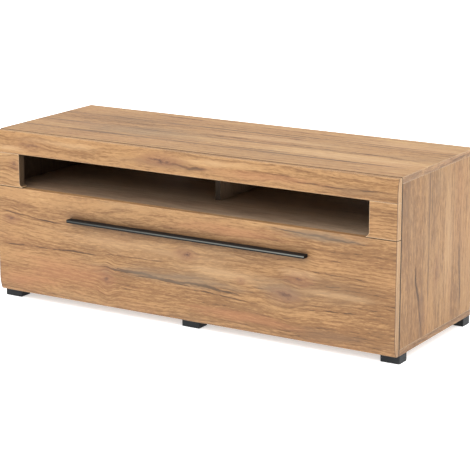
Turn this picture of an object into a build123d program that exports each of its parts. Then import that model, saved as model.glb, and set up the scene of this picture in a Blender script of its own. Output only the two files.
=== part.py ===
from build123d import *
from math import sqrt
import os

# Low television stand made of oak-finished board: a carcass with an open niche under its
# top, and one wide drawer below the niche behind a front that curves back at its long edges.
# The origin is on the floor under the middle of the whole stand, X runs along its width,
# -Y points out of its front and +Z is up. Lengths are in millimetres.

# Driving dimensions of the body
WIDTH = 1380
BODY_HEIGHT = 510
CARCASS_DEPTH = 482
BOARD = 18
BACK = 3
SOFT_EDGE = 1.0

# Feet
FOOT_WIDTH = 60
FOOT_DEPTH = 45
FOOT_HEIGHT = 25
FOOT_SETBACK = 5

# Front boards
FRONT = 22
FRONT_GAP = 3
FRONT_TOP_STEP = 1.5
FRONT_BOTTOM_STEP = 1
BOW_RADIUS = 115
BOW_HEIGHT = 46
FASCIA_HEIGHT = 68.5
NICHE_HEIGHT = 103.5
NICHE_WIDTH = 1205
NICHE_CORNER = 15
NICHE_TOE = 10
JOINT_GAP = 2
END_REBATE = 6

# Niche
SHELF_DROP = 177.5
DIVIDER_SETBACK = 160
OUTLET_RADIUS = 30
OUTLET_DROP = 98

# Handle
HANDLE_REACH = 22
HANDLE_LENGTH = 822
HANDLE_HEIGHT = 10
HANDLE_LIP = 4
HANDLE_PLATE = 2.5
HANDLE_POST_WIDTH = 12
HANDLE_DROP = 252

# Drawer
DRAWER_BOARD = 16
DRAWER_LENGTH = 450
DRAWER_SIDE_HEIGHT = 200
DRAWER_LIFT = 12
DRAWER_PANEL = 3
DRAWER_PANEL_LIFT = 10
GROOVE_DEPTH = 6
BRACE_WIDTH = 40

# Runners, each made of three channels that slide in one another
RUNNER_WIDTH = 13
RUNNER_LENGTH = 450
RUNNER_RISE = 90
SHEET = 1.2

# Places that follow from the driving dimensions
TOTAL_DEPTH = HANDLE_REACH + FRONT + FRONT_GAP + CARCASS_DEPTH
HANDLE_Y = -TOTAL_DEPTH / 2
FACE_Y = HANDLE_Y + HANDLE_REACH
FRONT_BACK_Y = FACE_Y + FRONT
CARCASS_Y = FRONT_BACK_Y + FRONT_GAP
REAR_Y = TOTAL_DEPTH / 2
BACK_Y = REAR_Y - BACK
OUTER_X = WIDTH / 2
INNER_X = OUTER_X - BOARD
PANEL_X = OUTER_X - BOARD / 2
BODY_Z = FOOT_HEIGHT
FLOOR_Z = BODY_Z + BOARD
TOP_Z = BODY_Z + BODY_HEIGHT
CEILING_Z = TOP_Z - BOARD
SHELF_Z = TOP_Z - SHELF_DROP
FASCIA_TOP_Z = TOP_Z - FRONT_TOP_STEP
NICHE_TOP_Z = FASCIA_TOP_Z - FASCIA_HEIGHT
BLOCK_Z = NICHE_TOP_Z - NICHE_HEIGHT
DRAWER_FRONT_Z = BODY_Z + FRONT_BOTTOM_STEP
DRAWER_FRONT_TOP_Z = BLOCK_Z - JOINT_GAP
HANDLE_Z = TOP_Z - HANDLE_DROP
BOX_X = INNER_X - RUNNER_WIDTH
BOX_INNER_X = BOX_X - DRAWER_BOARD
BOX_Z = FLOOR_Z + DRAWER_LIFT
BOX_TOP_Z = BOX_Z + DRAWER_SIDE_HEIGHT
BOX_BACK_Y = FRONT_BACK_Y + DRAWER_LENGTH
PANEL_Z = BOX_Z + DRAWER_PANEL_LIFT
RUNNER_Z = BOX_Z + RUNNER_RISE

SIDES = {"left": -1, "right": 1}
pieces = {}


# Shapes that many pieces share

def block(x0, x1, y0, y1, z0, z1):
    """A box between two corners, whichever way round they are given."""
    centre = Pos((x0 + x1) / 2, (y0 + y1) / 2, (z0 + z1) / 2)
    return centre * Box(abs(x1 - x0), abs(y1 - y0), abs(z1 - z0))


def board(x0, x1, y0, y1, z0, z1, soft=SOFT_EDGE):
    """A board with every edge slightly rounded."""
    plain = block(x0, x1, y0, y1, z0, z1)
    return fillet(plain.edges(), soft)


def rod(radius, start, direction, length):
    """A round bar from a point, along a direction."""
    return Part() + Solid.make_cylinder(radius, length, Plane(start, z_dir=direction))


def bore(names, tool):
    """Cut the same hole in each of the named pieces."""
    for name in names:
        pieces[name] -= tool


def add_to_group(name, solid):
    """Collect identical small parts in one node."""
    pieces.setdefault(name, []).append(solid)


# Fasteners. Each function adds the fastener and drills what it passes through.

def dowel(group, names, joint, direction, radius=4, depth=15, depth_beyond=15):
    """A wooden dowel across a joint, with a little room around it and at its ends."""
    joint = Vector(joint)
    direction = Vector(direction)
    length = depth + depth_beyond
    add_to_group(group, rod(radius, joint - direction * depth, direction, length))
    bore(names, rod(radius + 0.1, joint - direction * (depth + 1), direction, length + 2))


def cam_fitting(prefix, holder, target, joint, direction, face, thickness=BOARD):
    """A cam in the holder's inner face pulls a bolt that is screwed into the target."""
    reach = 24
    disc_radius = 7.5
    disc_height = 12.5
    joint = Vector(joint)
    direction = Vector(direction)
    face = Vector(face)
    centre = joint - direction * reach
    disc_face = centre + face * (thickness / 2)
    bolt_room = rod(3.7, centre - direction * 3, direction, reach + 3)
    disc = rod(disc_radius, disc_face, -face, disc_height)
    screwdriver_slot = rod(2.5, disc_face, -face, 2)
    bolt = rod(3.4, centre - direction * 2, direction, 4)
    bolt += rod(2, centre, direction, 10)
    bolt += rod(3.4, centre + direction * 9, direction, reach - 9)
    bolt += rod(2.5, joint, direction, 11)
    add_to_group(prefix + "cam_discs", disc - bolt_room - screwdriver_slot)
    add_to_group(prefix + "cam_bolts", bolt)
    disc_room = rod(disc_radius + 0.1, disc_face, -face, disc_height + 0.2)
    bore([holder], disc_room + bolt_room)
    bore([target], rod(2.6, joint, direction, 11.5))


def screw(group, names, seat, direction, length, radius=1.6, head_radius=3.2, head_height=0.8):
    """A flat-headed screw, driven from its seat along a direction."""
    seat = Vector(seat)
    direction = Vector(direction)
    shank = rod(radius, seat, direction, length)
    head = rod(head_radius, seat - direction * head_height, direction, head_height)
    add_to_group(group, shank + head)
    bore(names, rod(radius + 0.1, seat, direction, length + 0.5))


# Carcass

def make_carcass():
    pieces["top_board"] = board(-OUTER_X, OUTER_X, CARCASS_Y, BACK_Y, CEILING_Z, TOP_Z)
    pieces["bottom_board"] = board(-OUTER_X, OUTER_X, CARCASS_Y, BACK_Y, BODY_Z, FLOOR_Z)
    for side, sign in SIDES.items():
        pieces["side_panel_" + side] = board(
            sign * INNER_X, sign * OUTER_X, CARCASS_Y, BACK_Y, FLOOR_Z, CEILING_Z)
    pieces["niche_shelf"] = board(
        -INNER_X, INNER_X, CARCASS_Y, BACK_Y, SHELF_Z - BOARD, SHELF_Z)
    pieces["niche_divider"] = board(
        -BOARD / 2, BOARD / 2, CARCASS_Y + DIVIDER_SETBACK, BACK_Y, SHELF_Z, CEILING_Z)


def join_carcass():
    """Two cams and two dowels in each end of the sides and of the shelf."""
    cam_rows = (CARCASS_Y + 50, BACK_Y - 50)
    dowel_rows = (CARCASS_Y + 120, BACK_Y - 120)
    shelf_middle = SHELF_Z - BOARD / 2
    for side, sign in SIDES.items():
        panel = "side_panel_" + side
        inwards = (-sign, 0, 0)
        outwards = (sign, 0, 0)
        ends = (
            (panel, "top_board", sign * PANEL_X, CEILING_Z, (0, 0, 1), inwards),
            (panel, "bottom_board", sign * PANEL_X, FLOOR_Z, (0, 0, -1), inwards),
            ("niche_shelf", panel, sign * INNER_X, shelf_middle, outwards, (0, 0, -1)),
        )
        for holder, target, x, z, direction, face in ends:
            for y in cam_rows:
                cam_fitting("", holder, target, (x, y, z), direction, face)
            for y in dowel_rows:
                dowel("carcass_dowels", [holder, target], (x, y, z), direction, depth_beyond=12)
    for y in (CARCASS_Y + DIVIDER_SETBACK + 50, BACK_Y - 50):
        for target, z, direction in (
                ("top_board", CEILING_Z, (0, 0, 1)),
                ("niche_shelf", SHELF_Z, (0, 0, -1))):
            dowel("carcass_dowels", ["niche_divider", target], (0, y, z), direction,
                  depth_beyond=12)


def make_back_panel():
    """Thin back panel with a round cable outlet behind each half of the niche."""
    inset = 4
    panel = block(-OUTER_X + inset, OUTER_X - inset, BACK_Y, REAR_Y, BODY_Z + inset, TOP_Z - inset)
    outlet_z = TOP_Z - OUTLET_DROP
    for sign in SIDES.values():
        outlet = (sign * INNER_X / 2, BACK_Y - 1, outlet_z)
        panel -= rod(OUTLET_RADIUS, outlet, (0, 1, 0), BACK + 2)
    pieces["back_panel"] = panel


def nail_back_panel():
    """Flush nails along the edges of the carcass and along the shelf."""
    columns = 9
    pitch = 2 * PANEL_X / (columns - 1)
    rows = {
        "top_board": TOP_Z - BOARD / 2,
        "niche_shelf": SHELF_Z - BOARD / 2,
        "bottom_board": BODY_Z + BOARD / 2,
    }
    places = []
    for name, z in rows.items():
        first = 1 if name == "niche_shelf" else 0
        for column in range(first, columns - first):
            places.append((name, column * pitch - PANEL_X, z))
    for side, sign in SIDES.items():
        for z in (BODY_Z + 120, BODY_Z + 240):
            places.append(("side_panel_" + side, sign * PANEL_X, z))
    head_height = 0.7
    for name, x, z in places:
        seat_y = REAR_Y - head_height
        shank = rod(0.8, (x, seat_y, z), (0, -1, 0), 22)
        head = rod(1.8, (x, REAR_Y, z), (0, -1, 0), head_height)
        add_to_group("back_panel_nails", shank + head)
        bore(["back_panel"], rod(1.9, (x, REAR_Y + 1, z), (0, -1, 0), head_height + 1))
        bore(["back_panel", name], rod(0.9, (x, seat_y, z), (0, -1, 0), 22.5))


def make_feet():
    """Plain block feet at the corners and under the middle, two screws in each."""
    row_fronts = {
        "front": CARCASS_Y + FOOT_SETBACK,
        "rear": BACK_Y - FOOT_SETBACK - FOOT_DEPTH,
    }
    column_lefts = {
        "left": -OUTER_X,
        "middle": -FOOT_WIDTH / 2,
        "right": OUTER_X - FOOT_WIDTH,
    }
    recess = 9
    for row, y in row_fronts.items():
        for column, x in column_lefts.items():
            name = "foot_" + row + "_" + column
            pieces[name] = board(x, x + FOOT_WIDTH, y, y + FOOT_DEPTH, 0, FOOT_HEIGHT)
            for offset in (FOOT_WIDTH / 4, 3 * FOOT_WIDTH / 4):
                seat = (x + offset, y + FOOT_DEPTH / 2, recess)
                bore([name], rod(4.5, (seat[0], seat[1], -1), (0, 0, 1), recess + 1))
                screw("foot_screws", [name, "bottom_board"], seat, (0, 0, 1), 24,
                      radius=2, head_radius=4, head_height=2.5)


# Fixed front: fascia above the niche and a block at each end of it

def front_profile(z0, z1, back_y, bow_low, bow_high, soft):
    """Section of a front board, drawn with the stand's Y as its X and Z as its Y.

    The face may curve back at its low or its high edge.
    """
    bow_y = FACE_Y + BOW_RADIUS - sqrt(BOW_RADIUS ** 2 - BOW_HEIGHT ** 2)
    low_y = bow_y if bow_low else FACE_Y
    high_y = bow_y if bow_high else FACE_Y
    low_z = z0 + BOW_HEIGHT if bow_low else z0
    high_z = z1 - BOW_HEIGHT if bow_high else z1
    outline = Polyline((low_y, z0), (back_y, z0), (back_y, z1), (high_y, z1))
    if bow_high:
        outline += TangentArc((FACE_Y, high_z), (high_y, z1), tangent=(0, 1))
    if bow_low:
        outline += TangentArc((FACE_Y, low_z), (low_y, z0), tangent=(0, -1))
    outline += Line((FACE_Y, low_z), (FACE_Y, high_z))
    section = make_face(outline)
    corners = [v for v in section.vertices()
               if v.X < back_y - 1 and min(abs(v.Y - z0), abs(v.Y - z1)) < 0.01]
    return fillet(corners, soft)


def front_board(x0, x1, z0, z1, back_y, bow_low=False, bow_high=False, soft=2.0):
    """A front board along X, with its ends softened as well."""
    section = front_profile(z0, z1, back_y, bow_low, bow_high, soft)
    bar = Pos(x0, 0, 0) * extrude(Plane.YZ * section, x1 - x0)
    ends = [e for e in bar.edges()
            if e.bounding_box().size.X < 0.01 and e.center().Y < back_y - 1]
    return fillet(ends, SOFT_EDGE)


def end_rebates(z0, z1):
    """Narrow steps behind both ends of the fixed front, which show as a shadow gap."""
    steps = Part()
    for sign in SIDES.values():
        steps += block(sign * (OUTER_X - END_REBATE), sign * (OUTER_X + 1),
                       FRONT_BACK_Y, CARCASS_Y + 1, z0 - 1, z1 + 1)
    return steps


def make_fixed_front():
    fascia = front_board(-OUTER_X, OUTER_X, NICHE_TOP_Z, FASCIA_TOP_Z, CARCASS_Y, bow_high=True)
    pieces["front_fascia"] = fascia - end_rebates(NICHE_TOP_Z, FASCIA_TOP_Z)
    edge_x = NICHE_WIDTH / 2
    centre_x = edge_x - NICHE_CORNER
    for side, sign in SIDES.items():
        body = block(sign * edge_x, sign * OUTER_X, FACE_Y, CARCASS_Y, BLOCK_Z, NICHE_TOP_Z)
        toe = block(sign * (edge_x - NICHE_TOE), sign * edge_x, FACE_Y, CARCASS_Y,
                    BLOCK_Z, BLOCK_Z + NICHE_CORNER)
        hollow = rod(NICHE_CORNER, (sign * centre_x, FACE_Y - 1, BLOCK_Z + NICHE_CORNER),
                     (0, 1, 0), CARCASS_Y - FACE_Y + 2)
        body = body + (toe - hollow)
        upright = [e for e in body.edges().filter_by(Axis.Z)
                   if e.center().Y < FACE_Y + 1 and e.length > NICHE_CORNER]
        body = fillet(upright, 0.8)
        pieces["side_block_" + side] = body - end_rebates(BLOCK_Z, NICHE_TOP_Z)


def bracket(group, corner, run, first, second, names):
    """An angle bracket in a corner: one leg along each of two directions, one screw in each."""
    leg = 25
    width = 16
    thickness = 2
    corner = Vector(corner)
    run = Vector(run)
    first = Vector(first)
    second = Vector(second)
    half = run * (width / 2)
    far_first = corner + first * leg + second * thickness
    far_second = corner + first * thickness + second * leg
    angle = Part()
    for far in (far_first, far_second):
        low = corner - half
        high = far + half
        angle += block(low.X, high.X, low.Y, high.Y, low.Z, high.Z)
    for along, across in ((first, second), (second, first)):
        seat = corner + along * (leg * 0.6) + across * thickness
        angle -= rod(1.8, seat + across, -across, thickness + 2)
    add_to_group(group, angle)
    for along, across, name in ((first, second, names[0]), (second, first, names[1])):
        seat = corner + along * (leg * 0.6) + across * thickness
        screw("bracket_screws", [name], seat, -across, 14)


def join_fixed_front():
    """Dowels into the carcass edges, and angle brackets behind."""
    for x in (-600, -300, 0, 300, 600):
        dowel("front_dowels", ["front_fascia", "top_board"], (x, CARCASS_Y, TOP_Z - BOARD / 2),
              (0, 1, 0), radius=3, depth=11)
    for x in (-500, -200, 200, 500):
        bracket("front_brackets", (x, CARCASS_Y, CEILING_Z), (1, 0, 0), (0, 1, 0), (0, 0, -1),
                ("top_board", "front_fascia"))
    block_middle_z = (BLOCK_Z + NICHE_TOP_Z) / 2
    for side, sign in SIDES.items():
        names = ["side_block_" + side, "side_panel_" + side]
        for z in (block_middle_z - 30, block_middle_z + 30):
            dowel("front_dowels", names, (sign * (INNER_X + 6), CARCASS_Y, z), (0, 1, 0),
                  radius=3)
        bracket("front_brackets", (sign * INNER_X, CARCASS_Y, block_middle_z), (0, 0, 1),
                (0, 1, 0), (-sign, 0, 0), (names[1], names[0]))


# Drawer

def make_drawer():
    pieces["drawer_front"] = front_board(
        -OUTER_X, OUTER_X, DRAWER_FRONT_Z, DRAWER_FRONT_TOP_Z, FRONT_BACK_Y,
        bow_low=True, soft=3.0)
    for side, sign in SIDES.items():
        pieces["drawer_side_" + side] = board(
            sign * BOX_INNER_X, sign * BOX_X, FRONT_BACK_Y, BOX_BACK_Y, BOX_Z, BOX_TOP_Z)
    panel_top = PANEL_Z + DRAWER_PANEL
    pieces["drawer_back"] = board(
        -BOX_INNER_X, BOX_INNER_X, BOX_BACK_Y - DRAWER_BOARD, BOX_BACK_Y,
        panel_top, BOX_TOP_Z)
    panel_x = BOX_INNER_X + GROOVE_DEPTH
    pieces["drawer_bottom"] = block(
        -panel_x, panel_x, FRONT_BACK_Y - GROOVE_DEPTH, BOX_BACK_Y, PANEL_Z, panel_top)
    groove = block(-panel_x - 0.5, panel_x + 0.5, FRONT_BACK_Y - GROOVE_DEPTH - 0.5,
                   BOX_BACK_Y + 1, PANEL_Z - 0.1, panel_top + 0.1)
    bore(["drawer_front", "drawer_side_left", "drawer_side_right"], groove)
    pieces["drawer_bottom_brace"] = board(
        -BRACE_WIDTH / 2, BRACE_WIDTH / 2, FRONT_BACK_Y, BOX_BACK_Y, BOX_Z, PANEL_Z)


def join_drawer():
    """Cams and dowels at the front, long screws through the sides at the back."""
    low_z = BOX_Z + 35
    high_z = BOX_TOP_Z - 35
    middle_z = (low_z + high_z) / 2
    for side, sign in SIDES.items():
        name = "drawer_side_" + side
        x = sign * (BOX_X - DRAWER_BOARD / 2)
        for z in (low_z, high_z):
            cam_fitting("drawer_", name, "drawer_front", (x, FRONT_BACK_Y, z), (0, -1, 0),
                        (-sign, 0, 0), thickness=DRAWER_BOARD)
            seat = (sign * BOX_X, BOX_BACK_Y - DRAWER_BOARD / 2, z)
            screw("drawer_back_screws", [name, "drawer_back"], seat, (-sign, 0, 0), 45,
                  radius=2.5, head_radius=4, head_height=1.5)
        dowel("drawer_dowels", [name, "drawer_front"], (x, FRONT_BACK_Y, middle_z), (0, -1, 0),
              depth_beyond=12)
    for x in (-400, -200, 0, 200, 400):
        seat = (x, BOX_BACK_Y - DRAWER_BOARD / 2, PANEL_Z)
        if x == 0:
            seat = (x, seat[1], BOX_Z)
        screw("drawer_bottom_screws", ["drawer_bottom", "drawer_back", "drawer_bottom_brace"],
              seat, (0, 0, 1), 16 + PANEL_Z - seat[2])


def make_bumpers():
    """Soft buttons behind the corners of the drawer front, just clear of the carcass."""
    height = FRONT_GAP - 0.4
    for sign in SIDES.values():
        for z in (FLOOR_Z + 20, SHELF_Z - BOARD - 20):
            start = (sign * PANEL_X, FRONT_BACK_Y, z)
            button = rod(4, start, (0, 1, 0), height)
            rim = button.edges().sort_by(Axis.Y)[-1]
            add_to_group("drawer_bumpers", fillet(rim, 1))


# Handle

def make_handle():
    """A lipped bar with a plug under each end, screwed on from behind the drawer front."""
    half = HANDLE_LENGTH / 2
    low_z = HANDLE_Z - HANDLE_HEIGHT / 2
    high_z = HANDLE_Z + HANDLE_HEIGHT / 2
    plate_z = high_z - HANDLE_PLATE
    lip_back_y = HANDLE_Y + HANDLE_LIP
    lip = block(-half, half, HANDLE_Y, lip_back_y, low_z, high_z)
    plate = block(-half, half, HANDLE_Y, FACE_Y, plate_z, high_z)
    bar = lip + plate
    lip_edges = bar.edges().filter_by(Axis.X).group_by(Axis.Y)[0]
    pieces["handle_bar"] = fillet(lip_edges, 1.2)
    pieces["handle_posts"] = []
    for sign in SIDES.values():
        post = block(sign * (half - HANDLE_POST_WIDTH), sign * half,
                     lip_back_y, FACE_Y, low_z, plate_z)
        post = fillet(post.edges().filter_by(Axis.Y).group_by(Axis.Z)[0], 0.5)
        x = sign * (half - HANDLE_POST_WIDTH / 2)
        seat = (x, FRONT_BACK_Y, (low_z + plate_z) / 2)
        length = FRONT + 9
        room = rod(2.1, seat, (0, -1, 0), length + 0.5)
        pieces["handle_posts"].append(post - room)
        screw("handle_screws", ["drawer_front"], seat, (0, -1, 0), length,
              radius=2, head_radius=3.8, head_height=2.4)


# Runners

def channel(sign, base, lip, half_height, y0, y1):
    """A pressed channel along Y: base and lips are distances from the cabinet side."""
    wall = SHEET if lip > base else -SHEET
    x_base = sign * (INNER_X - base)
    x_wall = sign * (INNER_X - base - wall)
    x_lip = sign * (INNER_X - lip)
    low = RUNNER_Z - half_height
    high = RUNNER_Z + half_height
    shape = block(x_base, x_wall, y0, y1, low, high)
    shape += block(x_base, x_lip, y0, y1, low, low + SHEET)
    shape += block(x_base, x_lip, y0, y1, high - SHEET, high)
    return shape


def make_runners():
    """Ball runners that open fully: one channel on the cabinet, one between, one on the drawer."""
    front_y = CARCASS_Y + 4
    rear_y = front_y + RUNNER_LENGTH - 10
    for side, sign in SIDES.items():
        cabinet_rail = "cabinet_rail_" + side
        drawer_rail = "drawer_rail_" + side
        pieces[cabinet_rail] = channel(sign, 0, 9, 23, front_y, rear_y)
        pieces["middle_rail_" + side] = channel(sign, 2.6, 10.4, 18, front_y, rear_y)
        pieces[drawer_rail] = channel(sign, RUNNER_WIDTH, 5.2, 13, front_y, rear_y)
        for y in (front_y + 35, (front_y + rear_y) / 2, rear_y - 35):
            screw("cabinet_rail_screws", [cabinet_rail, "side_panel_" + side],
                  (sign * (INNER_X - SHEET), y, RUNNER_Z), (sign, 0, 0), 14)
            bore([cabinet_rail], rod(1.7, (sign * (INNER_X - SHEET - 1), y, RUNNER_Z),
                                     (sign, 0, 0), SHEET + 2))
            screw("drawer_rail_screws", [drawer_rail, "drawer_side_" + side],
                  (sign * (BOX_X + SHEET), y, RUNNER_Z), (-sign, 0, 0), 14)
            bore([drawer_rail], rod(1.7, (sign * (BOX_X + SHEET + 1), y, RUNNER_Z),
                                    (-sign, 0, 0), SHEET + 2))


def write_parts():
    os.makedirs("parts", exist_ok=True)
    for name, shape in pieces.items():
        if isinstance(shape, list):
            solids = [solid for item in shape for solid in item.solids()]
            shape = Compound(children=solids)
        export_step(shape, "parts/" + name + ".step")


make_carcass()
make_back_panel()
make_fixed_front()
make_drawer()
make_handle()
make_runners()
make_bumpers()
make_feet()
join_carcass()
join_fixed_front()
join_drawer()
nail_back_panel()
write_parts()
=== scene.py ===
import math

import bpy
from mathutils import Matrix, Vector


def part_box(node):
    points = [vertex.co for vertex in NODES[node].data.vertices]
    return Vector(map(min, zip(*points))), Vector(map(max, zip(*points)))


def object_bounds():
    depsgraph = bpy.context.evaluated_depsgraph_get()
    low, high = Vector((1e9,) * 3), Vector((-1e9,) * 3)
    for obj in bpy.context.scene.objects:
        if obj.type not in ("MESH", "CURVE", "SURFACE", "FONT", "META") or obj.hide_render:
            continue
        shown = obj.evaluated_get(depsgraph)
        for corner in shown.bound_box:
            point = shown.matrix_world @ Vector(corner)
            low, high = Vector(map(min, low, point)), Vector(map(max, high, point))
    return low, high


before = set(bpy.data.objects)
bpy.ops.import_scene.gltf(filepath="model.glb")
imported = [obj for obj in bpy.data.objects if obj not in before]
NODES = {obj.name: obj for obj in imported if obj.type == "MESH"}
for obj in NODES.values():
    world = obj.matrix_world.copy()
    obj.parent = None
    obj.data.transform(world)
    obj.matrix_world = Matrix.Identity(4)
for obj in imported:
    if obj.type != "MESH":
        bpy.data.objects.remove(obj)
CAD_LOW, CAD_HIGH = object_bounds()
CARCASS_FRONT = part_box("side_panel_right")[0].y
X, Y, Z = 0, 1, 2


# ---------------------------------------------------------------- fields and colours

# about how many times brighter than the screen's white a white surface would show
STUDIO_LEVEL = 1.92


def tint(red, green, blue):
    """The surface colour that shows as about this screen colour, 0 to 255, in the studio."""
    linear = []
    for part in (red, green, blue):
        part /= 255
        value = part / 12.92 if part <= 0.04045 else ((part + 0.055) / 1.055) ** 2.4
        linear.append(value / STUDIO_LEVEL)
    return (*linear, 1.0)


class Field:
    """A number that varies over a surface. Arithmetic on it adds Math nodes to its material."""

    def __init__(self, tree, socket):
        self.tree = tree
        self.socket = socket

    def op(self, operation, *others, clamp=False):
        """The result of a Math node on this field and the others."""
        node = self.tree.nodes.new("ShaderNodeMath")
        node.operation = operation
        node.use_clamp = clamp
        for number, value in enumerate((self, *others)):
            if isinstance(value, Field):
                self.tree.links.new(value.socket, node.inputs[number])
            else:
                node.inputs[number].default_value = value
        return Field(self.tree, node.outputs[0])

    def __add__(self, other):
        return self.op("ADD", other)

    def __sub__(self, other):
        return self.op("SUBTRACT", other)

    def __mul__(self, other):
        return self.op("MULTIPLY", other)

    def __truediv__(self, other):
        return self.op("DIVIDE", other)

    def flip(self):
        """1 where this field is 0, 0 where it is 1."""
        return (self * -1.0) + 1.0

    def abs(self):
        return self.op("ABSOLUTE")

    def ramp(self, low, high):
        """0 at low and below, 1 at high and above, smooth between; low may be the larger."""
        node = self.tree.nodes.new("ShaderNodeMapRange")
        node.interpolation_type = "SMOOTHSTEP"
        turned = low > high
        node.inputs["From Min"].default_value = min(low, high)
        node.inputs["From Max"].default_value = max(low, high)
        node.inputs["To Min"].default_value = 1.0 if turned else 0.0
        node.inputs["To Max"].default_value = 0.0 if turned else 1.0
        self.tree.links.new(self.socket, node.inputs["Value"])
        return Field(self.tree, node.outputs["Result"])

    def bell(self, width):
        """1 at 0, falling to nearly 0 at twice the width either way."""
        scaled = self / width
        return (scaled * scaled * -1.0).op("EXPONENT")

    def towards(self, other, part):
        """This field where part is 0, the other where part is 1."""
        return self + (other - self) * part


def vector(tree, u, v, w):
    """One vector of three fields or numbers."""
    node = tree.nodes.new("ShaderNodeCombineXYZ")
    for number, value in enumerate((u, v, w)):
        if isinstance(value, Field):
            tree.links.new(value.socket, node.inputs[number])
        else:
            node.inputs[number].default_value = value
    return node.outputs[0]


def noise(tree, u, v, w=0.0, detail=3.0, rough=0.55):
    """Perlin noise around 0, mostly within -0.5 to 0.5, with features one unit across."""
    node = tree.nodes.new("ShaderNodeTexNoise")
    node.noise_dimensions = "3D"
    node.inputs["Scale"].default_value = 1.0
    node.inputs["Detail"].default_value = detail
    node.inputs["Roughness"].default_value = rough
    tree.links.new(vector(tree, u, v, w), node.inputs["Vector"])
    return (Field(tree, node.outputs[0]) - 0.5) * 1.6


def mixed(tree, first, second, part):
    """The first colour where part is 0, the second where part is 1 and above."""
    node = tree.nodes.new("ShaderNodeMix")
    node.data_type = "RGBA"
    node.clamp_factor = True
    for name, value in (("A", first), ("B", second)):
        socket = [s for s in node.inputs if s.name == name and s.type == "RGBA"][0]
        if isinstance(value, tuple):
            socket.default_value = value
        else:
            tree.links.new(value, socket)
    factor = [s for s in node.inputs if s.name == "Factor" and s.type == "VALUE"][0]
    tree.links.new(part.socket, factor)
    return [s for s in node.outputs if s.type == "RGBA"][0]


def palette(tree, tone, stops):
    """The colour of a tone, held within 0 to 1, through (tone, colour) stops."""
    node = tree.nodes.new("ShaderNodeValToRGB")
    ramp = node.color_ramp
    ramp.interpolation = "EASE"
    for stop, _ in stops[2:]:
        ramp.elements.new(stop)
    for element, (stop, colour) in zip(ramp.elements, stops):
        element.position = stop
        element.color = colour
    tree.links.new(tone.op("ADD", 0.0, clamp=True).socket, node.inputs[0])
    return node.outputs[0]


def start(name):
    """A new material: itself, its node tree and its shader."""
    material = bpy.data.materials.new(name)
    material.use_nodes = True
    tree = material.node_tree
    shader = [n for n in tree.nodes if n.type == "BSDF_PRINCIPLED"][0]
    return material, tree, shader


def surface(tree):
    """Where a surface point is, and its normal, each as x, y and z fields in the CAD frame."""
    node = tree.nodes.new("ShaderNodeTexCoord")
    found = []
    for output in ("Object", "Normal"):
        split = tree.nodes.new("ShaderNodeSeparateXYZ")
        tree.links.new(node.outputs[output], split.inputs[0])
        found.append([Field(tree, split.outputs[i]) for i in range(3)])
    return found


def squarely(normal_part):
    """1 on faces that look along the axis of this part of the normal, either way, else 0."""
    return normal_part.abs().ramp(0.68, 0.72)


def finish_shader(tree, shader, colour, rough, height, depth):
    """Links colour, roughness and a bump of that depth, in metres, to the shader."""
    tree.links.new(colour, shader.inputs["Base Color"])
    tree.links.new(rough.socket, shader.inputs["Roughness"])
    bump = tree.nodes.new("ShaderNodeBump")
    bump.inputs["Distance"].default_value = depth
    bump.inputs["Strength"].default_value = 1.0
    tree.links.new(height.socket, bump.inputs["Height"])
    tree.links.new(bump.outputs[0], shader.inputs["Normal"])


def arris(tree, radius, wide=False):
    """1 along the outside and inside edges of a piece, 0 away from them.

    wide: begins where the surface turns less
    """
    bevel = tree.nodes.new("ShaderNodeBevel")
    bevel.samples = 6
    bevel.inputs["Radius"].default_value = radius
    geometry = tree.nodes.new("ShaderNodeNewGeometry")
    dot = tree.nodes.new("ShaderNodeVectorMath")
    dot.operation = "DOT_PRODUCT"
    tree.links.new(bevel.outputs[0], dot.inputs[0])
    tree.links.new(geometry.outputs["Normal"], dot.inputs[1])
    flat = 0.995 if wide else 0.985
    return Field(tree, dot.outputs["Value"]).ramp(flat, 0.92)


def crevice(tree, reach):
    """0 in the open, nearing 1 where other surfaces stand close by."""
    node = tree.nodes.new("ShaderNodeAmbientOcclusion")
    node.samples = 4
    node.inputs["Distance"].default_value = reach
    return Field(tree, node.outputs["AO"]).flip()


# ---------------------------------------------------------------- oak foil

OAK = (
    (0.0, tint(88, 60, 36)),
    (0.25, tint(147, 105, 65)),
    (0.5, tint(188, 143, 94)),
    (0.75, tint(212, 169, 116)),
    (1.0, tint(238, 204, 152)),
)
# a greyer, duller copy of the oak for the niche's shelf and divider, standing in for the niche's
# shade
NICHE_SHADED_OAK = (
    (0.0, tint(122, 101, 84)),
    (0.5, tint(199, 171, 142)),
    (1.0, tint(228, 201, 172)),
)
WARM_DRIFT = tint(200, 142, 98)
COOL_DRIFT = tint(162, 138, 106)
KNOT_CORE = tint(96, 66, 54)
KNOT_HALO = tint(156, 108, 78)
# dark brown for the print's seams, and painted as shade where the top board meets the fascia
SEAM_AND_GAP_SHADE = tint(104, 74, 52)
# a painted highlight along the arrises, partly also scuffing
ARRIS_HIGHLIGHT = tint(240, 212, 178)
# dark brown painted as shade on the carcass's edges that look forward, in the gap behind the
# fronts
DARK_GAP_SHADE = tint(64, 46, 34)
# dark grey-brown painted as shade on faces that look into the niche
NICHE_INNER_SHADE = tint(58, 51, 46)
# painted shade in crevices, where other surfaces stand close
CREVICE_SHADE = tint(78, 56, 42)
CREVICE_REACH = 0.030
END_LINE_HALF = 0.0008
FOIL_RELIEF = 0.00022


def bend_round(u, v, grain, knots):
    """The grain's across coordinate with its lines parted round each knot."""
    for ku, kv, ru, rv, strength in knots:
        du = u - ku
        dv = v - kv
        push = (dv / (rv * 1.2)).op("TANH") * du.bell(ru * 2.0) * (rv * 0.9 * strength)
        grain = grain - push * dv.bell(rv * 6.0)
    return grain


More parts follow.
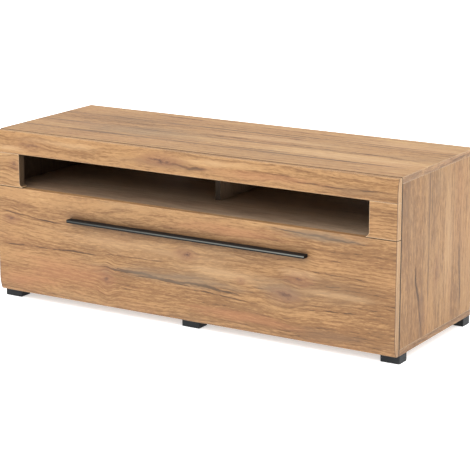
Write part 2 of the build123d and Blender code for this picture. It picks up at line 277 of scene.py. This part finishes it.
def knot_marks(tree, u, v, knots, seed):
    """How far into a knot's ring and its core each point is."""
    halo = core = None
    for number, (ku, kv, ru, rv, strength) in enumerate(knots):
        du = (u - ku) / ru
        dv = (v - kv) / rv
        jitter = noise(tree, u * 40.0, v * 90.0, seed + number * 7.0, 5.0, 0.7) * 2.0
        far = (du * du * 0.6 + dv * dv).op("SQRT") + jitter
        one_core = far.ramp(0.9, -0.1) * strength
        one_halo = far.ramp(2.8, 0.2) * (strength * 0.62)
        core = one_core if core is None else core.op("MAXIMUM", one_core)
        halo = one_halo if halo is None else halo.op("MAXIMUM", one_halo)
    return halo, core


def streak_marks(tree, u, v, bend, grain, streaks, seed):
    """Dark lines that follow the grain, each from one end to the other."""
    mark = None
    for number, (u0, v0, u1, v1, half, strength) in enumerate(streaks):
        middle = (u - u0) * ((v1 - v0) / (u1 - u0)) + v0
        wiggle = noise(tree, u * 11.0, number * 3.7, seed + 61, 3.0) * (half * 3.0)
        thick = (noise(tree, u * 9.0, number * 5.1, seed + 63, 3.0) + 0.7) * half
        off = (v + bend * 0.4 - middle - wiggle) / thick
        line = (off * off * -1.0).op("EXPONENT")
        fade = (u1 - u0) * 0.22
        window = u.ramp(u0 - fade * 0.3, u0 + fade) * u.ramp(u1 + fade * 0.3, u1 - fade)
        broken = noise(tree, u * 24.0, grain * 190.0, seed + 67 + number, 4.0, 0.65)
        line = line * window * broken.ramp(-0.5, 0.25) * strength
        mark = line if mark is None else mark.op("MAXIMUM", line)
    return mark


def late_wood(tree, u, v, grain, seed, ring, pith, heart, plank):
    """The dark side of the yearly rings of a board sawn near the pith.

    With planks it comes with the chance number, 0 to 1, that each plank has for its own.
    """
    side = grain - heart + noise(tree, u * 1.1, 0.0, seed + 11, 1.0) * 0.07
    own = None
    if plank:
        stave = (v / plank + noise(tree, u * 0.35, 0.0, seed + 9, 1.0) * 0.15).op("FLOOR")
        # a sine times a large number, cut to its fraction, differs from plank to plank
        own = ((stave * 12.9898 + seed).op("SINE") * 43.17).op("FRACT")
        side = side + own * 0.35
    deep = (noise(tree, u * 0.9, 0.0, seed + 21, 1.0) * 0.9 + 1.0) * pith
    radius = (side * side + deep * deep).op("SQRT")
    count = radius / ring + noise(tree, u * 6.0, grain * 30.0, seed + 5, 3.0) * 0.6
    saw = count.op("FRACT")
    late = saw.op("POWER", 3.0) * saw.ramp(1.0, 0.88)
    return late, own


def clouded(tree, colour, u, v, bend, grain, face, clouds, seed):
    """The colour with soft, ragged patches of other colours: those of the print, and on the niche
    shelf a painted shade.
    """
    for number, (cu, cv, ru, rv, cloud_colour, strength) in enumerate(clouds):
        du = (u - cu) / ru
        dv = (v + bend * 0.5 - cv) / rv
        ragged = noise(tree, u * 9.0, grain * 70.0, seed + 81 + number, 4.0, 0.65) * 1.4
        inside = ((du * du + dv * dv).op("SQRT") + ragged).ramp(1.4, 0.0) * strength
        colour = mixed(tree, colour, cloud_colour, inside * face)
    return colour


def seamed(tree, colour, u, v, face, seams, seam_half, seed):
    """The colour with thin dark lines, faint in places, that run along the grain."""
    for number, (sv, strength) in enumerate(seams):
        faded = noise(tree, u * 4.0, number * 9.1, seed + 91, 4.0).ramp(-0.35, 0.25)
        line = (v - sv).abs().ramp(seam_half * 3.0, seam_half) * faded * face * strength
        colour = mixed(tree, colour, SEAM_AND_GAP_SHADE, line)
    return colour


def oak(name, along, across, seed,
        ring=0.011, pith=0.05, heart=0.0, plank=0.0,
        wander=0.03, waves=0.006, curl=0.0012, coarse=1.0,
        ring_part=0.26, line_part=0.13, fibre_part=0.09, streak_part=0.10,
        tone=0.5, lean=0.0, rise=0.0, warm=0.0,
        knots=(), streaks=(), clouds=(), seams=(), seam_half=0.0008,
        edge_light=0.6, arris_reach=0.0042, end_lift=0.0, end_lines=(),
        inner=None, gap_shade=None, gap_shade_line=0.0, gap_shade_depth=0.65,
        rough=0.48, sheen=0.28, stops=OAK):
    """Printed oak foil with its grain along one axis. Lengths are in metres.

    seed: where in the noise the print lies; each layer adds a number of its own
    ring: how far apart the yearly rings are
    pith, heart: how far under the face, and where across the grain, the rings have their middle
    plank: how wide the planks of the print are, 0 for a print in one piece
    wander, waves, curl: how far the grain leaves the straight, in long, middling and short bends
    coarse: how fine the print is across the grain, less than 1 for broader lines
    ring_part, line_part, fibre_part, streak_part: how strongly each of them shows
    tone, lean: how light the print is, and how much lighter per metre along; rise: how much
    lighter per metre across, a painted shade darkening the lower drawer front
    warm: how much more its reddish drifts show
    knots: (along, across, half length, half width, strength)
    streaks: (from along, across there, to along, across there, half width, strength)
    clouds: (along, across, half length, half width, colour, strength)
    seams: (across, strength) of thin dark joints in the print
    seam_half: half the width of a seam
    edge_light, arris_reach: how strong the painted highlight along the arrises, partly also
    scuffing, is, and how far it reaches
    end_lift: how much lighter the end faces are
    end_lines: places along the grain of thin dark lines beside the end faces
    inner: (axis, sign) of the faces that look into the niche, which get a dark painted shade
    band: the colour of the painted shade on the edges that look forward, in the gap behind the
    fronts
    gap_shade_line, gap_shade_depth: how far, and how strongly, that painted shade reaches on to
    the faces beside them
    """
    material, tree, shader = start(name)
    at, facing = surface(tree)
    through = X + Y + Z - along - across
    end = squarely(facing[along])
    edge = squarely(facing[across])
    face = end.flip() * edge.flip()
    u = at[along].towards(at[across], end)
    v = at[across].towards(at[through], edge).towards(at[through], end)

    # the grain's own across coordinate, which wanders and bends round knots
    bend = noise(tree, u * 1.7, v * 4.0, seed, 1.0) * wander
    bend = bend + noise(tree, u * 9.0, v * 16.0, seed + 3, 2.0) * waves
    bend = bend + noise(tree, u * 55.0, v * 60.0, seed + 4, 2.0) * curl
    grain = bend_round(u, v, v + bend, knots)

    # rings, then fibres, pores and darker mineral streaks, all following the grain
    late, own = late_wood(tree, u, v, grain, seed, ring, pith, heart, plank)
    ring_power = noise(tree, u * 2.1, grain * 12.0, seed + 31, 2.0).ramp(-0.35, 0.4) + 0.25
    fine = noise(tree, u * 60.0, grain * (380.0 * coarse), seed + 41, 3.0, 0.7)
    fibre = noise(tree, u * 18.0, grain * (190.0 * coarse), seed + 43, 5.0, 0.7)
    lines = fibre.ramp(-0.22, 0.22) - 0.5
    broad = noise(tree, u * 4.0, grain * (90.0 * coarse), seed + 46, 4.0, 0.6)
    fleck = noise(tree, u * 34.0, grain * (330.0 * coarse), seed + 44, 3.0).ramp(0.04, 0.32)
    pores = noise(tree, u * 36.0, grain * (420.0 * coarse), seed + 45, 3.0).ramp(0.10, 0.34)
    vein = noise(tree, u * 3.2, grain * (80.0 * coarse), seed + 47, 6.0, 0.72)
    cloud = noise(tree, u * 1.5, grain * 15.0, seed + 53, 3.0)

    # dark dashes, each with a light one beside it
    dash = noise(tree, u * 13.0, grain * (135.0 * coarse), seed + 48, 2.0)
    beside = grain + 0.0045 / coarse
    glint = noise(tree, u * 13.0, beside * (135.0 * coarse), seed + 48, 2.0)

    value = cloud * 0.34 + tone + at[along] * lean + at[across] * rise
    value = value - late * ring_power * ring_part
    value = value + lines * line_part + broad * fibre_part + fine * 0.32
    value = value + fleck * 0.12 - pores * 0.09
    value = value - dash.ramp(0.13, 0.24) * 0.09 + glint.ramp(0.13, 0.26) * 0.08
    value = value - vein.ramp(0.05, 0.4) * streak_part
    value = value + vein.ramp(0.0, -0.45) * (streak_part * 0.5)
    value = value + end * end_lift
    if plank:
        value = value + (own - 0.5) * 0.14
    if streaks:
        value = value - streak_marks(tree, u, v, bend, grain, streaks, seed) * 0.75
    colour = palette(tree, value, stops)

    # warm and cool drifts, patches, knots and seams of the print, and the niche shelf's painted
    # shade
    drift = noise(tree, u * 2.6, v * 8.0, seed + 71, 3.0)
    colour = mixed(tree, colour, WARM_DRIFT, drift.ramp(-0.02, 0.5) * (0.24 + warm))
    colour = mixed(tree, colour, COOL_DRIFT, drift.ramp(0.02, -0.5) * 0.26)
    colour = clouded(tree, colour, u, v, bend, grain, face, clouds, seed)
    if knots:
        halo, core = knot_marks(tree, u, v, knots, seed)
        colour = mixed(tree, colour, KNOT_HALO, halo * face)
        colour = mixed(tree, colour, KNOT_CORE, core * face)
    colour = seamed(tree, colour, u, v, face, seams, seam_half, seed)

    # arrises with a painted highlight and some scuffing, end lines, and painted shade at the gaps
    # behind the fronts, on inner faces and in crevices
    # a painted highlight along the arrises, partly also scuffing, broken up by noise
    edge_wear_and_highlight = arris(tree, arris_reach, wide=True)
    edge_wear_and_highlight = edge_wear_and_highlight * (noise(tree, u * 30.0, v * 60.0, seed + 95) * 0.4 + 0.85)
    colour = mixed(tree, colour, ARRIS_HIGHLIGHT, edge_wear_and_highlight * edge_light)
    for line_place in end_lines:
        line = (at[along] - line_place).abs().ramp(END_LINE_HALF * 3.0, END_LINE_HALF) * face
        colour = mixed(tree, colour, SEAM_AND_GAP_SHADE, line * 0.7)
    # painted shade of the gap behind the fronts, on the faces just behind the carcass's front
    if gap_shade_line:
        line = at[Y].ramp(CARCASS_FRONT + gap_shade_line, CARCASS_FRONT + gap_shade_line * 0.6)
        colour = mixed(tree, colour, gap_shade, line * gap_shade_depth)
    # painted shade on the faces that look into the niche
    if inner:
        axis, sign = inner
        hidden = facing[axis].ramp(0.5 * sign, 0.7 * sign)
        colour = mixed(tree, colour, NICHE_INNER_SHADE, hidden * 0.85)
    # painted shade on the edges that look forward, in the gap behind the fronts
    if gap_shade:
        colour = mixed(tree, colour, gap_shade, facing[Y].ramp(-0.5, -0.7) * 0.92)
    # painted shade in crevices, where other surfaces stand close
    colour = mixed(tree, colour, CREVICE_SHADE, crevice(tree, CREVICE_REACH) * 0.75)

    gloss = fibre * 0.10 + pores * 0.14 + late * 0.05 + edge_wear_and_highlight * 0.08 + rough
    height = lines * 0.4 - pores * 0.6 + fine * 0.3
    finish_shader(tree, shader, colour, gloss, height, FOIL_RELIEF)
    shader.inputs["Specular IOR Level"].default_value = sheen
    return material


# ---------------------------------------------------------------- other finishes

def pale_board(name):
    """Pale foil with a faint straight grain, for the drawer box."""
    material, tree, shader = start(name)
    (x, y, z), facing = surface(tree)
    lengthwise = squarely(facing[X])
    u = x.towards(y, lengthwise)
    fibre = noise(tree, u * 14.0, z * 260.0, y * 40.0, 4.0)
    cloud = noise(tree, u * 2.0, z * 9.0, y * 5.0, 2.0)
    colour = palette(tree, fibre * 0.45 + cloud * 0.35 + 0.5,
                     ((0.0, tint(196, 184, 164)), (0.5, tint(216, 206, 188)),
                      (1.0, tint(232, 224, 210))))
    edge_wear_and_highlight = arris(tree, 0.0014)
    colour = mixed(tree, colour, tint(240, 234, 222), edge_wear_and_highlight * 0.5)
    finish_shader(tree, shader, colour, fibre * 0.12 + edge_wear_and_highlight * 0.06 + 0.5, fibre, depth=0.0002)
    return material


def fibreboard(name):
    """Thin hardboard: a dark foil on the face that looks forward, uncovered brown fibre behind.
    """
    material, tree, shader = start(name)
    (x, y, z), facing = surface(tree)
    hair = noise(tree, x * 420.0, z * 420.0, y * 90.0, 4.0, 0.7)
    flock = noise(tree, x * 36.0, z * 36.0, 4.0, 4.0, 0.6)
    blotch = noise(tree, x * 4.0, z * 4.0, 9.0, 2.0)
    bare_fibre_and_painted_reflection = palette(tree, hair * 0.5 + flock * 0.3 + blotch * 0.3 + 0.5,
                   ((0.0, tint(104, 74, 50)), (0.5, tint(138, 103, 73)),
                    (1.0, tint(168, 132, 97))))
    grain = noise(tree, x * 8.0, z * 190.0, 2.0, 4.0)
    faced = palette(tree, grain * 0.8 + 0.5,
                    ((0.0, tint(84, 70, 60)), (0.5, tint(112, 93, 79)),
                     (1.0, tint(136, 115, 98))))
    front = facing[Y].ramp(-0.4, -0.6)
    colour = mixed(tree, bare_fibre_and_painted_reflection, faced, front)
    finish_shader(tree, shader, colour, hair * 0.12 + 0.68, hair + flock * 0.5, depth=0.0003)
    return material


def powder_coat(name, strip=None):
    """Black powder coat with a fine orange peel, slightly polished on its arrises.

    strip: (lowest, highest) z of a painted reflection, a grey stripe along the face that looks
    forward, lighter to the right
    """
    material, tree, shader = start(name)
    (x, y, z), facing = surface(tree)
    peel = noise(tree, x * 700.0, y * 700.0, z * 700.0, 2.0)
    dust = noise(tree, x * 25.0, y * 60.0, z * 60.0, 3.0)
    edge_wear_and_highlight = arris(tree, 0.0009)
    colour = palette(tree, dust * 0.6 + 0.5,
                     ((0.0, tint(14, 13, 14)), (1.0, tint(28, 27, 28))))
    colour = mixed(tree, colour, tint(70, 69, 68), edge_wear_and_highlight * 0.25)
    gloss = dust * 0.08 - edge_wear_and_highlight * 0.06 + 0.5
    if strip:
        low_z, high_z = strip
        # a painted reflection on the bar's front: a grey stripe, darker to the left and lighter
        # to the right, streaked along the bar
        reflection_streaks = noise(tree, x * 3.0, z * 900.0, 3.0, 4.0)
        bare_fibre_and_painted_reflection = z.ramp(low_z, low_z + 0.001) * z.ramp(high_z, high_z - 0.001)
        bare_fibre_and_painted_reflection = bare_fibre_and_painted_reflection * facing[Y].ramp(-0.6, -0.9) * (reflection_streaks * 0.25 + 0.9)
        reflection_colour = palette(tree, x * 0.9 + reflection_streaks * 0.3 + 0.5,
                       ((0.0, tint(62, 64, 62)), (0.5, tint(112, 113, 107)),
                        (1.0, tint(142, 142, 134))))
        colour = mixed(tree, colour, reflection_colour, bare_fibre_and_painted_reflection)
        gloss = gloss + reflection_streaks * 0.08 * bare_fibre_and_painted_reflection - bare_fibre_and_painted_reflection * 0.06
    finish_shader(tree, shader, colour, gloss, peel, depth=0.00006)
    shader.inputs["Specular IOR Level"].default_value = 0.12
    return material


def moulded(name):
    """Dark moulded plastic with a fine spark-eroded grain and rubbed lower edges."""
    material, tree, shader = start(name)
    (x, y, z), _ = surface(tree)
    grain = noise(tree, x * 900.0, y * 900.0, z * 900.0, 3.0, 0.7)
    cloud = noise(tree, x * 30.0, y * 30.0, z * 30.0, 3.0)
    edge_wear_and_highlight = arris(tree, 0.0012)
    colour = palette(tree, cloud * 0.8 + 0.5,
                     ((0.0, tint(22, 25, 28)), (1.0, tint(36, 40, 44))))
    colour = mixed(tree, colour, tint(74, 78, 82), edge_wear_and_highlight * 0.4)
    finish_shader(tree, shader, colour, grain * 0.1 + 0.55, grain, depth=0.0002)
    shader.inputs["Specular IOR Level"].default_value = 0.25
    return material


def zinc(name, along, dull):
    """Zinc-plated steel drawn along one axis."""
    material, tree, shader = start(name)
    at, _ = surface(tree)
    scale = [900.0, 900.0, 900.0]
    scale[along] = 14.0
    lines = noise(tree, at[X] * scale[X], at[Y] * scale[Y], at[Z] * scale[Z], 4.0)
    bloom = noise(tree, at[X] * 40.0, at[Y] * 40.0, at[Z] * 40.0, 3.0)
    edge_wear_and_highlight = arris(tree, 0.0006)
    colour = palette(tree, bloom * 0.7 + lines * 0.3 + 0.5,
                     ((0.0, tint(150, 152, 154)), (0.6, tint(196, 198, 200)),
                      (1.0, tint(214, 214, 208))))
    colour = mixed(tree, colour, tint(232, 232, 230), edge_wear_and_highlight * 0.6)
    finish_shader(tree, shader, colour, lines * 0.14 + bloom * 0.1 + dull, lines, depth=0.00005)
    shader.inputs["Metallic"].default_value = 1.0
    return material


def beech(name):
    """Raw turned beech with short dark flecks."""
    material, tree, shader = start(name)
    (x, y, z), _ = surface(tree)
    fleck = noise(tree, x * 160.0, y * 500.0, z * 500.0, 3.0)
    colour = palette(tree, fleck + 0.5,
                     ((0.0, tint(186, 148, 104)), (0.5, tint(214, 180, 136)),
                      (1.0, tint(230, 202, 162))))
    finish_shader(tree, shader, colour, fleck * 0.1 + 0.62, fleck, depth=0.0002)
    return material


def rubber(name):
    """Soft translucent bumper dots, faintly dusty."""
    material, tree, shader = start(name)
    (x, y, z), _ = surface(tree)
    dust = noise(tree, x * 300.0, y * 300.0, z * 300.0, 3.0)
    colour = palette(tree, dust + 0.5,
                     ((0.0, tint(196, 196, 190)), (1.0, tint(226, 226, 220))))
    finish_shader(tree, shader, colour, dust * 0.15 + 0.4, dust, depth=0.00005)
    shader.inputs["Transmission Weight"].default_value = 0.3
    return material


def dress(material, *names):
    """Puts the material on these nodes."""
    for name in names:
        for slot in NODES[name].material_slots:
            slot.material = material


# ---------------------------------------------------------------- the finishes, node by node

# colours of the patches in the print, and of the painted shade on the niche shelf
GREY = tint(138, 118, 96)
GREY_BROWN = tint(132, 100, 72)
REDDISH = tint(186, 126, 88)
PALE = tint(226, 186, 138)
NICHE_SHADE = tint(128, 102, 82)

# thin dark lines on the front boards' faces, this far in from their ends
END_LINE_INSET = 0.0012
FRONT_LINES = (CAD_LOW.x + END_LINE_INSET, CAD_HIGH.x - END_LINE_INSET)

# how far the painted reflection on the handle stays from the bar's lower and upper edges
STRIP_BELOW = 0.0036
STRIP_ABOVE = 0.0020

dress(oak("drawer_front_oak", X, Z, 2.3,
          ring=0.012, pith=0.04, heart=0.330, wander=0.035, ring_part=0.23,
          # rise here is painted shade: the drawer front darker towards the bottom
          tone=0.300, lean=-0.045, rise=0.35, end_lift=0.22, end_lines=FRONT_LINES,
          knots=((-0.640, 0.260, 0.014, 0.009, 0.8), (-0.282, 0.117, 0.012, 0.018, 0.75),
                 (0.003, 0.231, 0.018, 0.010, 1.0), (0.383, 0.208, 0.020, 0.011, 0.9),
                 (0.340, 0.155, 0.024, 0.014, 0.75), (0.190, 0.177, 0.008, 0.006, 0.8)),
          streaks=((-0.690, 0.283, -0.450, 0.267, 0.003, 0.7),
                   (-0.690, 0.177, -0.300, 0.191, 0.003, 0.75),
                   (-0.300, 0.195, -0.060, 0.201, 0.002, 0.6),
                   (-0.300, 0.153, 0.190, 0.135, 0.0050, 1.9),
                   (-0.180, 0.143, 0.020, 0.131, 0.003, 1.0),
                   (-0.020, 0.125, 0.260, 0.117, 0.003, 0.6),
                   (0.290, 0.350, 0.590, 0.335, 0.004, 0.9),
                   (0.300, 0.245, 0.640, 0.231, 0.003, 0.4),
                   (0.380, 0.125, 0.640, 0.137, 0.003, 0.4)),
          clouds=((-0.050, 0.151, 0.230, 0.020, GREY, 0.6),
                  (0.450, 0.343, 0.150, 0.018, GREY, 0.65),
                  (0.340, 0.165, 0.080, 0.030, GREY, 0.55),
                  (0.470, 0.200, 0.160, 0.040, GREY_BROWN, 0.35),
                  (0.500, 0.060, 0.170, 0.020, GREY_BROWN, 0.6),
                  (0.200, 0.070, 0.180, 0.018, REDDISH, 0.5),
                  (-0.430, 0.115, 0.200, 0.045, REDDISH, 0.45),
                  (-0.600, 0.065, 0.110, 0.025, REDDISH, 0.45),
                  (0.150, 0.320, 0.200, 0.020, REDDISH, 0.40),
                  (-0.150, 0.235, 0.330, 0.030, PALE, 0.35),
                  (0.150, 0.190, 0.160, 0.020, PALE, 0.40),
                  (0.383, 0.226, 0.060, 0.012, PALE, 0.55),
                  (0.520, 0.178, 0.140, 0.012, PALE, 0.35))),
      "drawer_front")

dress(oak("fascia_oak", X, Z, 17.9,
          ring=0.013, pith=0.03, heart=0.500, waves=0.011, curl=0.0025, ring_part=0.30,
          tone=0.455, lean=-0.11, end_lift=0.20, end_lines=FRONT_LINES,
          knots=((-0.085, 0.503, 0.036, 0.012, 1.0), (-0.560, 0.500, 0.034, 0.011, 0.45)),
          streaks=((-0.080, 0.493, 0.080, 0.491, 0.005, 1.2),
                   (0.200, 0.502, 0.420, 0.499, 0.002, 0.5),
                   (0.330, 0.485, 0.680, 0.491, 0.003, 0.7)),
          clouds=((-0.060, 0.493, 0.150, 0.016, GREY_BROWN, 0.6),
                  (0.560, 0.485, 0.130, 0.016, GREY_BROWN, 0.5),
                  (0.250, 0.490, 0.200, 0.014, REDDISH, 0.4),
                  (-0.640, 0.480, 0.060, 0.010, PALE, 0.55),
                  (-0.430, 0.515, 0.160, 0.010, PALE, 0.45),
                  (0.120, 0.512, 0.140, 0.010, PALE, 0.40))),
      "front_fascia")

dress(oak("block_oak_left", X, Z, 29.4,
          ring=0.013, waves=0.014, curl=0.002, ring_part=0.36, end_lift=0.12,
          # painted shade on the face that looks into the niche
          end_lines=FRONT_LINES, inner=(X, 1),
          knots=((-0.620, 0.433, 0.010, 0.012, 0.5),)),
      "side_block_left")
dress(oak("block_oak_right", X, Z, 41.7,
          ring=0.009, waves=0.014, curl=0.002, tone=0.44, end_lift=0.12,
          # painted shade on the face that looks into the niche
          end_lines=FRONT_LINES, inner=(X, -1)),
      "side_block_right")

dress(oak("top_oak", X, Y, 5.1,
          ring=0.026, pith=0.03, plank=0.105, waves=0.003, coarse=0.45,
          line_part=0.16, fibre_part=0.12, streak_part=0.08,
          tone=0.54, lean=0.05, edge_light=0.9, arris_reach=0.003, end_lift=-0.20,
          # painted shade on the front edge, where the top board meets the fascia
          gap_shade=SEAM_AND_GAP_SHADE, gap_shade_line=0.003, gap_shade_depth=0.3,
          knots=((-0.250, 0.110, 0.016, 0.012, 0.3), (0.180, 0.100, 0.014, 0.010, 0.45),
                 (0.460, 0.010, 0.012, 0.008, 0.3)),
          streaks=((-0.420, 0.225, -0.180, 0.205, 0.0055, 0.9),
                   (-0.100, 0.020, 0.620, 0.000, 0.0045, 0.9),
                   (-0.300, -0.080, 0.450, -0.095, 0.0040, 0.9),
                   (0.100, 0.140, 0.650, 0.150, 0.0055, 0.7),
                   (-0.640, 0.060, -0.250, 0.070, 0.0045, 0.7),
                   (-0.100, 0.210, 0.300, 0.200, 0.0055, 0.6)),
          clouds=((-0.300, -0.040, 0.300, 0.070, GREY, 0.40),
                  (-0.450, 0.120, 0.200, 0.050, GREY_BROWN, 0.35),
                  (0.420, -0.060, 0.280, 0.040, PALE, 0.45),
                  (0.120, 0.060, 0.220, 0.030, PALE, 0.40),
                  (0.500, 0.170, 0.200, 0.040, PALE, 0.40)),
          seams=((-0.110, 0.9), (-0.005, 0.7), (0.122, 0.8)), seam_half=0.003),
      "top_board")

for side, sign in (("right", 1), ("left", -1)):
    dress(oak("side_oak_" + side, Z, Y, 11.6 * sign,
              ring=0.020, pith=0.03, plank=0.055, wander=0.02, waves=0.003, coarse=0.6,
              ring_part=0.08, fibre_part=0.12, streak_part=0.08,
              tone=0.42, warm=0.06, sheen=0.18, edge_light=1.0, arris_reach=0.0032,
              # painted shade on the inner faces and along the front edges, behind the fronts
              inner=(X, -sign), gap_shade=DARK_GAP_SHADE, gap_shade_line=0.0052, gap_shade_depth=0.85,
              knots=((0.220, 0.015, 0.022, 0.010, 0.5),),
              streaks=((0.045, -0.075, 0.265, -0.130, 0.005, 1.0),
                       (0.055, 0.180, 0.305, 0.166, 0.005, 0.9),
                       (0.285, -0.020, 0.505, -0.030, 0.003, 0.6),
                       (0.250, 0.100, 0.510, 0.110, 0.004, 0.5)),
              clouds=((0.105, -0.080, 0.130, 0.012, GREY_BROWN, 0.55),
                      (0.200, 0.175, 0.150, 0.010, GREY_BROWN, 0.45),
                      (0.305, 0.090, 0.170, 0.030, PALE, 0.35)),
              seams=((-0.041, 0.9), (0.120, 0.6)), seam_half=0.0016),
          "side_panel_" + side)

dress(oak("bottom_oak", X, Y, 23.8,
          plank=0.11, tone=0.48, edge_light=0.9, arris_reach=0.003,
          # painted shade on the front edge, behind the fronts
          gap_shade=DARK_GAP_SHADE, gap_shade_line=0.0040),
      "bottom_board")
dress(oak("niche_oak", X, Y, 33.3,
          # painted shade: the niche's greyer oak, and a darker cloud towards its front
          plank=0.11, tone=0.56, edge_light=0.2, rough=0.66, sheen=0.12, stops=NICHE_SHADED_OAK,
          clouds=((-0.250, -0.240, 1.100, 0.170, NICHE_SHADE, 0.65),)),
      "niche_shelf")
dress(oak("divider_oak", Z, Y, 37.2,
          # painted shade: the niche's greyer oak, and its face that looks forward darker
          rough=0.66, sheen=0.12, inner=(Y, -1), stops=NICHE_SHADED_OAK),
      "niche_divider")

dress(pale_board("drawer_foil"), "drawer_side_left", "drawer_side_right", "drawer_back",
      "drawer_bottom_brace")
dress(fibreboard("hardboard_finish"), "back_panel", "drawer_bottom")
bar_low, bar_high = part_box("handle_bar")
dress(powder_coat("handle_coat", (bar_low.z + STRIP_BELOW, bar_high.z - STRIP_ABOVE)),
      "handle_bar")
dress(powder_coat("handle_plug_coat"), "handle_posts")
dress(moulded("foot_finish"), "foot_front_left", "foot_front_middle", "foot_front_right",
      "foot_rear_left", "foot_rear_middle", "foot_rear_right")
dress(zinc("runner_zinc", Y, 0.32), "cabinet_rail_left", "cabinet_rail_right", "middle_rail_left",
      "middle_rail_right", "drawer_rail_left", "drawer_rail_right")
dress(zinc("fitting_zinc", Z, 0.38), "back_panel_nails", "front_brackets", "bracket_screws",
      "cam_discs", "cam_bolts", "cabinet_rail_screws", "foot_screws", "drawer_cam_discs",
      "drawer_cam_bolts", "drawer_back_screws", "drawer_bottom_screws", "drawer_rail_screws",
      "handle_screws")
dress(beech("beech_finish"), "front_dowels", "carcass_dowels", "drawer_dowels")
dress(rubber("bumper_finish"), "drawer_bumpers")


# ---------------------------------------------------------------- floor, light and camera

def studio_floor():
    """A pale, faintly glowing floor, large enough to fill the view, in a cloudy paint."""
    half = 40.0
    mesh = bpy.data.meshes.new("studio_floor")
    corners = [(-half, -half, 0), (half, -half, 0), (half, half, 0), (-half, half, 0)]
    mesh.from_pydata(corners, [], [(0, 1, 2, 3)])
    floor = bpy.data.objects.new("studio_floor", mesh)
    bpy.context.scene.collection.objects.link(floor)
    material, tree, shader = start("floor_paint")
    (x, y, z), _ = surface(tree)
    cloud = noise(tree, x * 3.0, y * 3.0, z, 3.0)
    colour = palette(tree, cloud * 0.3 + 0.5,
                     ((0.0, (0.93, 0.93, 0.93, 1.0)), (1.0, (0.96, 0.96, 0.96, 1.0))))
    finish_shader(tree, shader, colour, cloud * 0.05 + 0.8, cloud, depth=0.00001)
    shader.inputs["Specular IOR Level"].default_value = 0.1
    shader.inputs["Emission Color"].default_value = (1.0, 1.0, 1.0, 1.0)
    shader.inputs["Emission Strength"].default_value = 0.5
    mesh.materials.append(material)


def sun(name, strength, azimuth, elevation, spread):
    """A soft white light from far off, in degrees: azimuth 0 is in front, 90 to the right."""
    lamp = bpy.data.lights.new(name, "SUN")
    lamp.energy = strength
    lamp.angle = math.radians(spread)
    piece = bpy.data.objects.new(name, lamp)
    a = math.radians(azimuth)
    e = math.radians(elevation)
    towards = Vector((math.sin(a) * math.cos(e), -math.cos(a) * math.cos(e), math.sin(e)))
    piece.rotation_euler = towards.to_track_quat("Z", "Y").to_euler()
    bpy.context.scene.collection.objects.link(piece)


studio_floor()
sun("key_light", 3.6, -15, 55, 70)
sun("side_light", 1.55, 75, 45, 80)

world = bpy.data.worlds.new("studio")
world.use_nodes = True
background = world.node_tree.nodes["Background"]
background.inputs["Color"].default_value = (1.0, 1.0, 1.0, 1.0)
background.inputs["Strength"].default_value = 0.85
bpy.context.scene.world = world
bpy.context.scene.view_settings.view_transform = "Standard"

# from in front and to the right, looking a little down; the angles are in radians
CAMERA_PLACE = (2.853, -4.654, 1.608)
CAMERA_DOWN = 0.246
CAMERA_TURN = 0.546

camera_data = bpy.data.cameras.new("camera")
camera_data.lens = 142.0
camera_data.sensor_width = 36.0
camera_data.clip_end = 200.0
camera = bpy.data.objects.new("camera", camera_data)
camera.location = CAMERA_PLACE
camera.rotation_euler = (math.pi / 2 - CAMERA_DOWN, 0.0, CAMERA_TURN)
bpy.context.scene.collection.objects.link(camera)
bpy.context.scene.camera = camera
